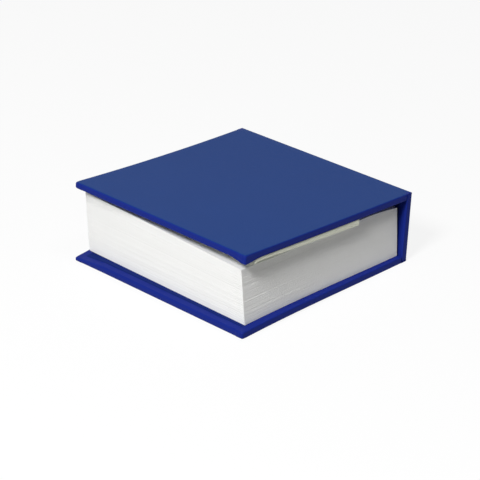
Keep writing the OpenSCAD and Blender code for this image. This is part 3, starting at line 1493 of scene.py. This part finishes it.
@dataclass
class PaperBlock:
    """The block of note paper, and the way its loose sheets lie.

    Attributes:
        back: The back cover's directions. The lowest sheets follow its warp.
        slip: How far behind its place the lowest sheet's loose edge lies.
        fan: How much further out the top sheet's loose edge lies than the lowest's.
        turn: How far the sheets are turned about their glued edge, in radians.
        drift: How far the lowest sheet lies towards the tail from its place.
        swell: How much of the solid's rise its loose edge has in the middle.
        swell_slant: How much more of it there is at the head than in the middle.
        draw: How much narrower the knife left the top sheet than the lowest.
        level_at: How far from its middle, towards the glue, its top is level.
    """

    back: Panel
    slip: float = 0.85
    fan: float = 1.0
    turn: float = 0.0155
    drift: float = 0.7
    swell: float = 0.78
    swell_slant: float = 0.5
    draw: float = 0.6
    level_at: float = 17.0

    def build(self, finishes: Finishes) -> None:
        """Makes and dresses the sheets and the glue that holds them.

        Args:
            finishes: The materials.
        """
        place, loose, held, half = self.place_sheets()
        stack = SheetStack((loose, held), (-half, half), sheets=180, groove=0.03, jitter=0.07, seed=7)
        finishes.fit(stack.skin(place), "note_paper_block", Slot.NOTE_PAPER, "base", "paper_block")
        glue = self.glue_skin(place, held, half)
        finishes.fit(glue, "brushed_binding_glue", Slot.BINDING_GLUE, "base", "binding_glue")

    def place_sheets(self) -> tuple[Place, float, float, float]:
        """Works out how the sheets lie inside the box of their solid.

        The height of the block's top along X is read from the solid's own top
        edge. It is a level middle and what rises or falls from it. The rise, at
        the loose edge, is the solid's times swell, and it grows towards the head
        by swell_slant. A sheet takes its share of the middle's height, and of the
        rise or fall with the square of that share. Towards the loose edge it is
        slid and turned, in proportion to the distance from the glue. The lower
        it is, the further it lies towards the tail and the more it follows the
        cover's warp. The higher it is, the more its head side is drawn in.

        Returns:
            The function that places points, the loose edge, the glued edge and
            half the width of the block.
        """
        low, high = (np.array(corner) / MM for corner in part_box("paper_block"))
        points = node_points("paper_block")
        top = points[points[:, 2] > (low[2] + high[2]) / 2]
        order = np.argsort(top[:, 0])
        top_x, top_z = top[order, 0], top[order, 2]
        foot_x = float(points[points[:, 2] < low[2] + 1, 0].min())
        middle = float(np.interp((low[0] + high[0]) / 2 + self.level_at, top_x, top_z))
        held, half = float(high[0]), float(high[1])

        def place(u: Array, v: Array, share: Array) -> Array:
            """Points of the block in the model's frame, as described above.

            Args:
                u: Places along X before the sheets are slid.
                v: Places along Y before they are turned.
                share: The share of the way up the block.

            Returns:
                The points.
            """
            free = (held - u) / (held - foot_x)
            x = u + (self.slip - self.fan * share + self.turn * v) * free
            y = v + self.turn * (held - u) - self.drift * (1 - share)
            y = y - self.draw * share * (v + half) / (2 * half)
            rise = np.interp(x, top_x, top_z) - middle
            rise = np.where(rise > 0, rise * (self.swell + self.swell_slant * v / half), rise)
            z = low[2] + (middle - low[2]) * share + rise * share**2
            z = z + self.back.sink(self.back.fold[0] - x, y) * (1 - share)
            return np.stack(np.broadcast_arrays(x, y, z), axis=-1)

        return place, foot_x, held, half

    def glue_skin(self, place: Place, held: float, half: float) -> Skin:
        """The film of glue on the held edges of the sheets.

        Its outer face is the plane of the film's solid, rounded down at its four
        sides to a quarter of its thickness, and drawn back by waves. The waves
        are two sines that run along the block, as the brush did, and slant.

        Args:
            place: The function that places the sheets' points.
            held: The held edge.
            half: Half the width of the block.

        Returns:
            The closed skin.
        """
        thick = float(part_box("binding_glue")[1][0]) / MM - held
        v, share = np.linspace(-half, half, 60)[:, None], np.linspace(0.0, 1.0, 26)[None, :]
        side = np.minimum(half - np.abs(v), 20 * np.minimum(share, 1 - share))
        waves = 0.5 + 0.3 * np.sin(0.31 * v + 9 * share) + 0.2 * np.sin(0.83 * v - 23 * share)
        film = thick * (0.25 + 0.75 * smooth_step(side / 0.8) * (1 - 0.25 * waves))
        v, share = np.broadcast_arrays(v, share)
        inner = place(np.full_like(film, held), v, share)
        outer = inner + np.stack([film, np.zeros_like(film), np.zeros_like(film)], axis=-1)
        skin = Skin(sharp_deg=60.0)
        skin.add_sheet(outer, inner)
        return skin


@dataclass
class StickyNotes:
    """The pad of sticky notes inside the front cover.

    Attributes:
        panel: The front cover's directions.
        reach: Where the pad begins and ends, measured from the fold.
        sides: Its places from tail to head.
        start: The depth at which it begins, on the lining.
        thickness: How thick it is.
        stray: How far towards the tail from its place it was stuck by hand.
        taper: How much thinner it is at its loose edge, as a share.
    """

    panel: Panel
    reach: tuple[float, float]
    sides: tuple[float, float]
    start: float
    thickness: float
    stray: float = 0.75
    taper: float = 0.5

    @classmethod
    def read(cls, panel: Panel, start: float) -> "StickyNotes":
        """Works out its place from the corners of its solid.

        Args:
            panel: The front cover's directions.
            start: The depth at which it begins.

        Returns:
            The pad.
        """
        points = node_points("sticky_note_pad")
        plane = points[:, [0, 2]] - panel.fold
        a, c, y = plane @ panel.along, plane @ panel.inward, points[:, 1]
        reach, sides = (float(a.min()), float(a.max())), (float(y.min()), float(y.max()))
        return cls(panel, reach, sides, start, float(c.max() - start))

    def build(self, finishes: Finishes) -> None:
        """Makes and dresses the pad: sheets held at their edge nearest the spine.

        Its thickness goes down in proportion to the distance from that edge.

        Args:
            finishes: The materials.
        """
        held, loose = self.reach

        def place(u: Array, v: Array, share: Array) -> Array:
            """Points of the pad in the model's frame."""
            thickness = self.thickness * (1 - self.taper * (u - held) / (loose - held))
            return self.panel.place(u, v - self.stray, self.start + thickness * share)

        stack = SheetStack(
            (loose, held), self.sides, sheets=22, groove=0.025, jitter=0.07, seed=21, steps=(18, 18)
        )
        sheets = stack.skin(place)
        finishes.fit(sheets, "sticky_note_pad_sheets", Slot.STICKY_NOTES, "cover", "sticky_note_pad")


@dataclass
class MemoBlock:
    """The whole object: the case, the note paper and the sticky notes.

    Attributes:
        sizes: The sizes of the case.
        finishes: The materials.
    """

    sizes: CaseSizes
    finishes: Finishes

    def back_panel(self) -> Panel:
        """The directions of the back cover, flat on its outside.

        Returns:
            The panel.
        """
        s = self.sizes
        warp = Warp(sag=0.48, lean=2, start=s.seam)
        along, inward = np.array([-1.0, 0.0]), np.array([0.0, 1.0])
        pinch = (0.0, 0.4)
        return Panel(np.array(s.foot_fold), along, inward, s.back_depth, s.half_width, warp, pinch)

    def spine_panel(self) -> Panel:
        """The directions of the spine, from its foot, leaning with the joints.

        Returns:
            The panel.
        """
        s = self.sizes
        up = np.array(s.top_fold) - np.array(s.foot_fold)
        height = float(np.linalg.norm(up))
        up = up / height
        return Panel(np.array(s.foot_fold), up, np.array([-up[1], up[0]]), height, s.half_width)

    def front_panel(self) -> Panel:
        """The directions of the front cover, which climbs to its fore-edge.

        Returns:
            The panel.
        """
        s = self.sizes
        along = np.array([-np.cos(s.rise), np.sin(s.rise)])
        inward = np.array([-np.sin(s.rise), -np.cos(s.rise)])
        warp = Warp(sag=0.4, slant=0.6, start=s.seam)
        pinch = (-0.42, 0.0)
        return Panel(np.array(s.top_fold), along, inward, s.front_depth, s.half_width, warp, pinch)

    def build(self) -> None:
        """Builds every sub-assembly in order: covers, spine, folds and paper."""
        s = self.sizes
        back = Cover("back", "base", self.back_panel(), s, fore_radius=(0.6, 0.8))
        front = Cover("front", "cover", self.front_panel(), s, fore_radius=(0.5, 0.7))
        spine = Spine(self.spine_panel(), s)
        up, inward = spine.panel.along, spine.panel.inward
        back_wing = Wing(back.panel.along, back.panel.inward, s.seam)
        foot_wing = Wing(up, inward, s.spine_foot_gap)
        top_wing = Wing(-up, inward, s.spine_top_gap)
        front_wing = Wing(front.panel.along, front.panel.inward, s.seam)
        foot = Fold("foot", ("base", "spine"), back.panel.fold, back_wing, foot_wing, s)
        top = Fold("top", ("spine", "cover"), front.panel.fold, top_wing, front_wing, s)
        pad = StickyNotes.read(front.panel, s.panel + s.lining)
        for part in (back, front, spine, foot, top, PaperBlock(back.panel), pad):
            part.build(self.finishes)


@dataclass
class Studio:
    """A white floor, soft lamps and the camera.

    Attributes:
        aim: Where the camera looks, in millimetres.
        azimuth: The way the camera looks, in degrees from straight along Y.
        elevation: How high it stands, in degrees.
        distance: How far it is from its aim, in millimetres.
        lens: Its focal length, on a sensor 36 mm wide.
        sky: How bright the world is where the camera doesn't see it.
        floor_grey: How much light the floor gives back to the object.
        floor_glow: How much of the floor the camera sees as plain white.
    """

    aim: tuple[float, float, float] = (-31.79, -31.32, 29.74)
    azimuth: float = -45.17
    elevation: float = 25.73
    distance: float = 659.6
    lens: float = 150.0
    sky: float = 0.14
    floor_grey: float = 0.5
    floor_glow: float = 0.87

    def build(self) -> None:
        """Makes the floor, the world, the lamps and the camera."""
        self.make_floor()
        self.make_world()
        self.make_lamp("fore_edge_lamp", aim_from=(-680.0, -195.0, 707.0), size=230.0, power=8.8)
        self.make_lamp("tail_lamp", aim_from=(0.0, -407.0, 914.0), size=260.0, power=0.9)
        self.make_camera()

    def make_floor(self) -> None:
        """A wide floor that the camera sees nearly white, with its shadows kept pale."""
        mesh = bpy.data.meshes.new("floor")
        reach = 3000 * MM
        corners = [(x * reach, y * reach, 0.0) for x, y in ((-1, -1), (1, -1), (1, 1), (-1, 1))]
        mesh.from_pydata(corners, [], [(0, 1, 2, 3)])
        floor = bpy.data.objects.new("floor", mesh)
        floor.location.z = -0.02 * MM
        bpy.context.scene.collection.objects.link(floor)
        graph = Graph(bpy.data.materials.new("floor_sheet"))
        seen, white = graph.seen(), (1.0, 1.0, 1.0)
        tint = graph.tint(seen, (self.floor_grey,) * 3, white)
        graph.surface(Base_Color=tint, Roughness=1.0, Specular_IOR_Level=0.0)
        glow = graph.add("Emission", Color=(*white, 1.0), Strength=1.0)
        mix = graph.add("MixShader")
        graph.put(graph.math("MULTIPLY", seen, self.floor_glow), mix.inputs[0])
        graph.put(graph.nodes["Principled BSDF"].outputs[0], mix.inputs[1])
        graph.put(glow.outputs[0], mix.inputs[2])
        graph.put(mix.outputs[0], graph.nodes["Material Output"].inputs["Surface"])
        mesh.materials.append(graph.owner)
        floor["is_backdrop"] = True

    def make_world(self) -> None:
        """An even sky: dim as a light, and plain white where it is seen."""
        world = bpy.data.worlds.new("studio")
        bpy.context.scene.world = world
        graph = Graph(world)
        back = graph.nodes["Background"]
        graph.put((1.0, 1.0, 1.0, 1.0), back.inputs["Color"])
        graph.put(graph.stretch(graph.seen(), self.sky, 1.0), back.inputs["Strength"])

    def make_lamp(self, name: str, aim_from: tuple[float, float, float], size: float, power: float) -> None:
        """A square soft lamp that points at the object.

        Args:
            name: The lamp's name.
            aim_from: Where it stands, in millimetres.
            size: The length of its sides.
            power: Its power in watts.
        """
        data = bpy.data.lights.new(name, "AREA")
        data.shape = "SQUARE"
        data.size = size * MM
        data.energy = power
        lamp = bpy.data.objects.new(name, data)
        lamp.location = Vector(aim_from) * MM
        lamp.rotation_euler = (-lamp.location).to_track_quat("-Z", "Y").to_euler()
        bpy.context.scene.collection.objects.link(lamp)

    def make_camera(self) -> None:
        """The camera, turned round its aim by its azimuth and elevation."""
        data = bpy.data.cameras.new("camera")
        data.lens = self.lens
        data.sensor_width = 36.0
        data.clip_start, data.clip_end = 10 * MM, 10000 * MM
        camera = bpy.data.objects.new("camera", data)
        turn, lift = np.radians(self.azimuth), np.radians(self.elevation)
        back = Vector((np.sin(turn) * np.cos(lift), -np.cos(turn) * np.cos(lift), np.sin(lift)))
        camera.location = (Vector(self.aim) + back * self.distance) * MM
        camera.rotation_euler = back.to_track_quat("Z", "Y").to_euler()
        bpy.context.scene.collection.objects.link(camera)
        bpy.context.scene.camera = camera


def write_sizes(before: tuple[Vector, Vector]) -> None:
    """Works out the box of the solids and that of the finished object, in metres.

    Args:
        before: The lowest and highest corner of the solids.
    """
    boxes = {"cad": before, "visual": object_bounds()}
    plain = {name: [list(corner) for corner in box] for name, box in boxes.items()}


def main() -> None:
    """Builds the object and the studio round it."""
    logging.basicConfig(level=logging.INFO, format="%(name)s: %(message)s")
    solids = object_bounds()
    bpy.context.scene.view_settings.view_transform = "Standard"
    MemoBlock(CaseSizes.read(), Finishes.make()).build()
    Studio().build()
    write_sizes(solids)


if __name__ == "__main__":
    main()
